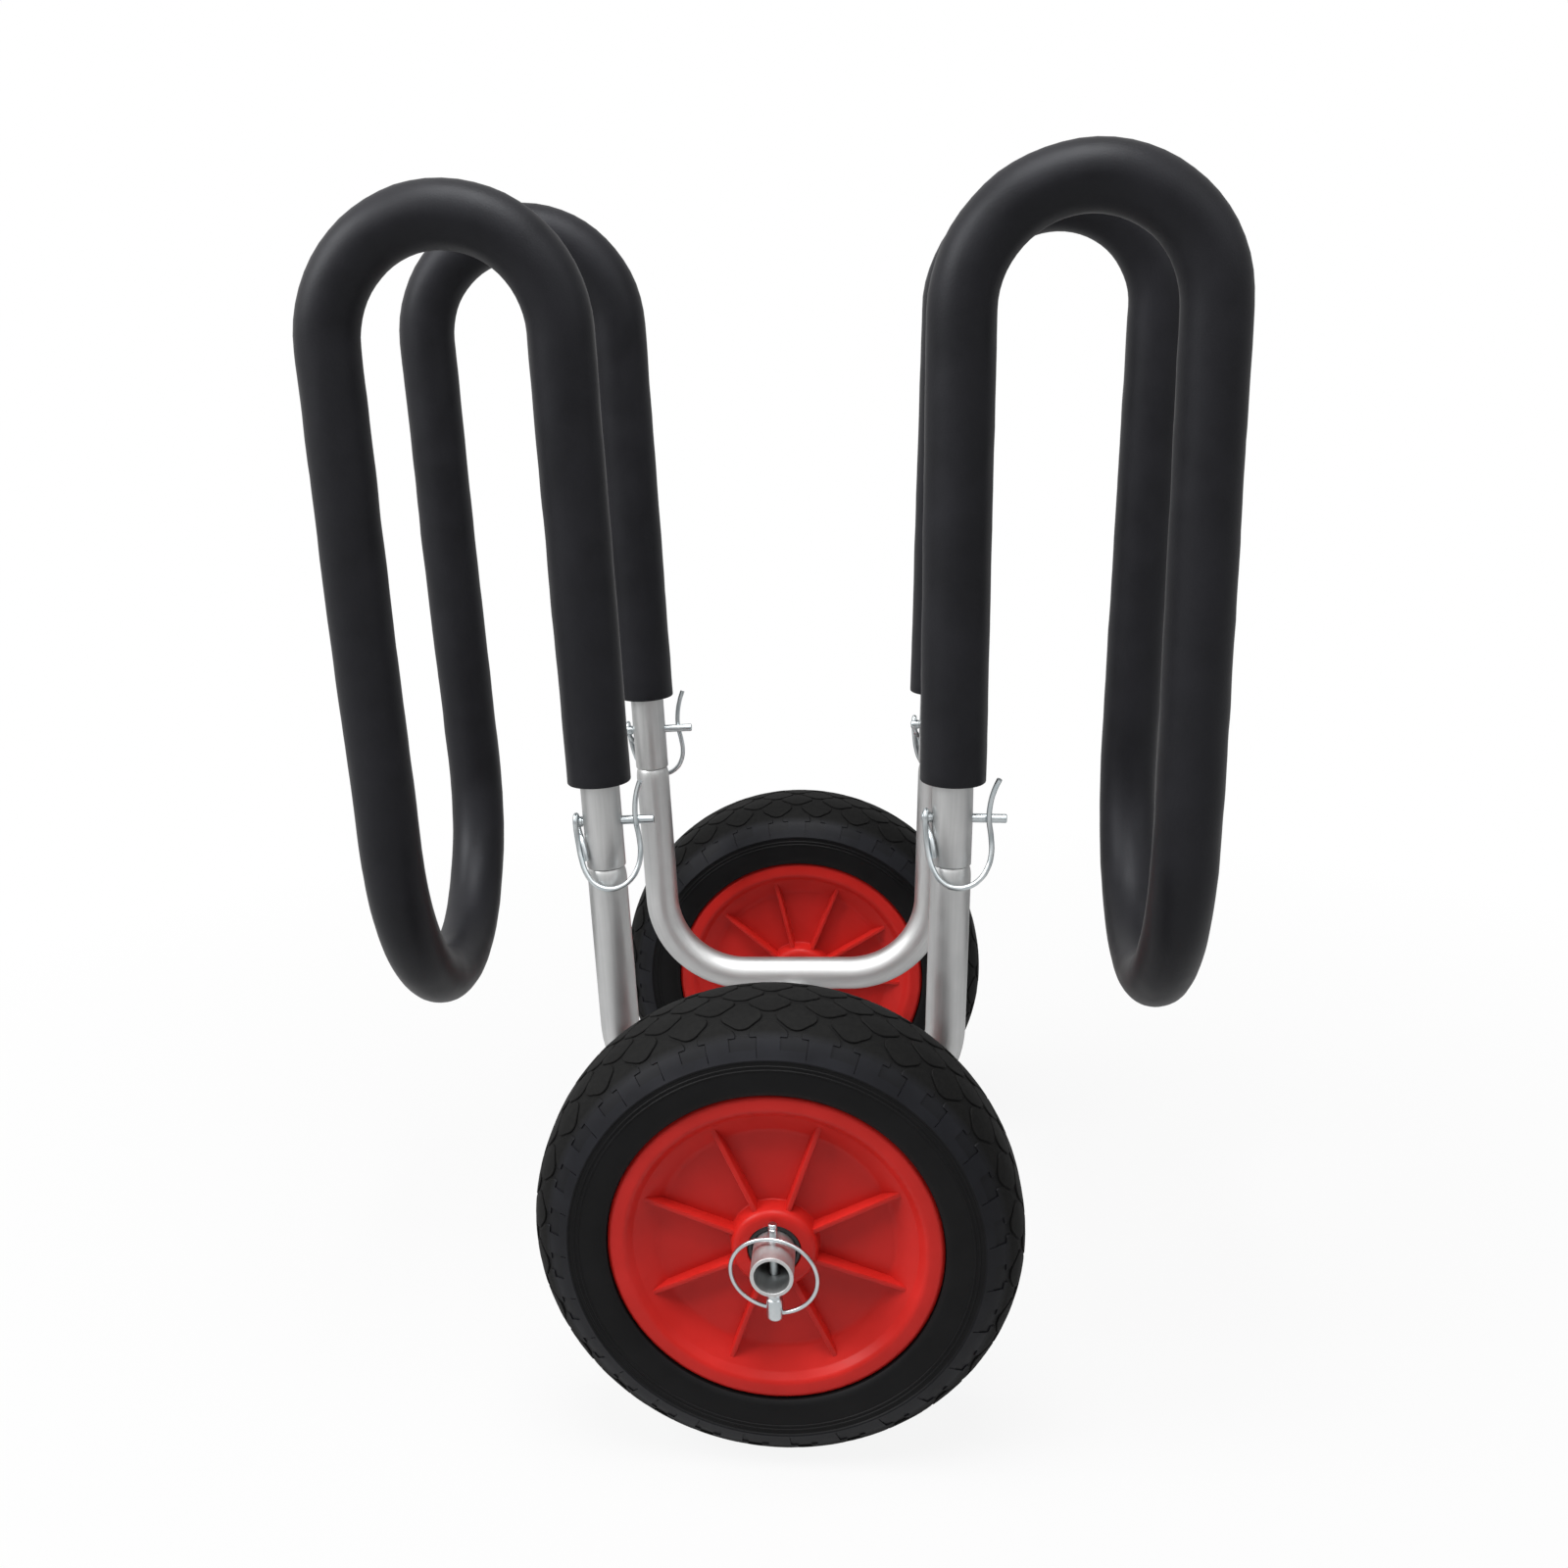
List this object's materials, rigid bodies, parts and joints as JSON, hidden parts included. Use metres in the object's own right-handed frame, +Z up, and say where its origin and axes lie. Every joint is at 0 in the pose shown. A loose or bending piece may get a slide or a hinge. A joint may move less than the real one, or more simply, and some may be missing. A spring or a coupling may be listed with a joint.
{
  "type": "paddleboard cart",
  "caption": "Wheeled cart that carries a paddleboard on its edge between padded saddle arms, pinned on bent tube frames over an axle with foam-tyred wheels.",
  "frame": {"origin": "on the ground, under the middle of the cart", "axes": "+Y along the axle towards the far wheel, +X in the rolling direction and along the board, +Z up"},
  "size_m": [0.4974, 0.5036, 0.6747],
  "materials": {
    "aluminium": "satin drawn tube",
    "foam": "matt closed-cell foam",
    "zinc_steel": "bright zinc plate",
    "rim": "moulded, slightly glossy",
    "tyre": "matt solid foam",
    "bush": "moulded nylon"
  },
  "bodies": {
    "cart_frame": {"axle_tube": "aluminium", "axle_spacer_near": "aluminium", "axle_spacer_far": "aluminium", "bent_frame_near": "aluminium", "bent_frame_far": "aluminium", "frame_weld_near": "aluminium", "frame_weld_far": "aluminium", "arm_tube_left": "aluminium", "arm_tube_right": "aluminium", "foam_sleeve_left": "foam", "foam_sleeve_right": "foam", "clip_pin_near_left": "zinc_steel", "clip_pin_near_right": "zinc_steel", "clip_pin_far_left": "zinc_steel", "clip_pin_far_right": "zinc_steel", "lynch_pin_near": "zinc_steel", "lynch_pin_far": "zinc_steel"},
    "wheel_near": {"rim_near": "rim", "tyre_near": "tyre", "bush_outer_near": "bush", "bush_inner_near": "bush"},
    "wheel_far": {"rim_far": "rim", "tyre_far": "tyre", "bush_outer_far": "bush", "bush_inner_far": "bush"},
    "ring_near": {"lynch_ring_near": "zinc_steel"},
    "ring_far": {"lynch_ring_far": "zinc_steel"},
    "wire_near_left": {"clip_wire_near_left": "zinc_steel"},
    "wire_near_right": {"clip_wire_near_right": "zinc_steel"},
    "wire_far_left": {"clip_wire_far_left": "zinc_steel"},
    "wire_far_right": {"clip_wire_far_right": "zinc_steel"}
  },
  "joints": [
    {"name": "wheel_near_spin", "type": "hinge", "parent": "cart_frame", "child": "wheel_near", "pos_m": [0, -0.191, 0.12937], "axis": [0, 1, 0], "continuous": true},
    {"name": "wheel_far_spin", "type": "hinge", "parent": "cart_frame", "child": "wheel_far", "pos_m": [0, 0.191, 0.12937], "axis": [0, 1, 0], "continuous": true},
    {"name": "ring_near_flip", "type": "hinge", "parent": "cart_frame", "child": "ring_near", "pos_m": [0, -0.232, 0.10147], "axis": [1, 0, 0], "range_deg": [0, 165]},
    {"name": "ring_far_flip", "type": "hinge", "parent": "cart_frame", "child": "ring_far", "pos_m": [0, 0.232, 0.10147], "axis": [-1, 0, 0], "range_deg": [0, 165]},
    {"name": "wire_near_left_swing", "type": "hinge", "parent": "cart_frame", "child": "wire_near_left", "pos_m": [-0.11089, -0.11, 0.32855], "axis": [0.0314, 0, -0.9995], "range_deg": [0, 100]},
    {"name": "wire_near_right_swing", "type": "hinge", "parent": "cart_frame", "child": "wire_near_right", "pos_m": [0.08211, -0.11, 0.32945], "axis": [-0.0314, 0, -0.9995], "range_deg": [0, 100]},
    {"name": "wire_far_left_swing", "type": "hinge", "parent": "cart_frame", "child": "wire_far_left", "pos_m": [-0.11089, 0.11, 0.32855], "axis": [-0.0314, 0, 0.9995], "range_deg": [0, 100]},
    {"name": "wire_far_right_swing", "type": "hinge", "parent": "cart_frame", "child": "wire_far_right", "pos_m": [0.08211, 0.11, 0.32945], "axis": [0.0314, 0, 0.9995], "range_deg": [0, 100]}
  ]
}
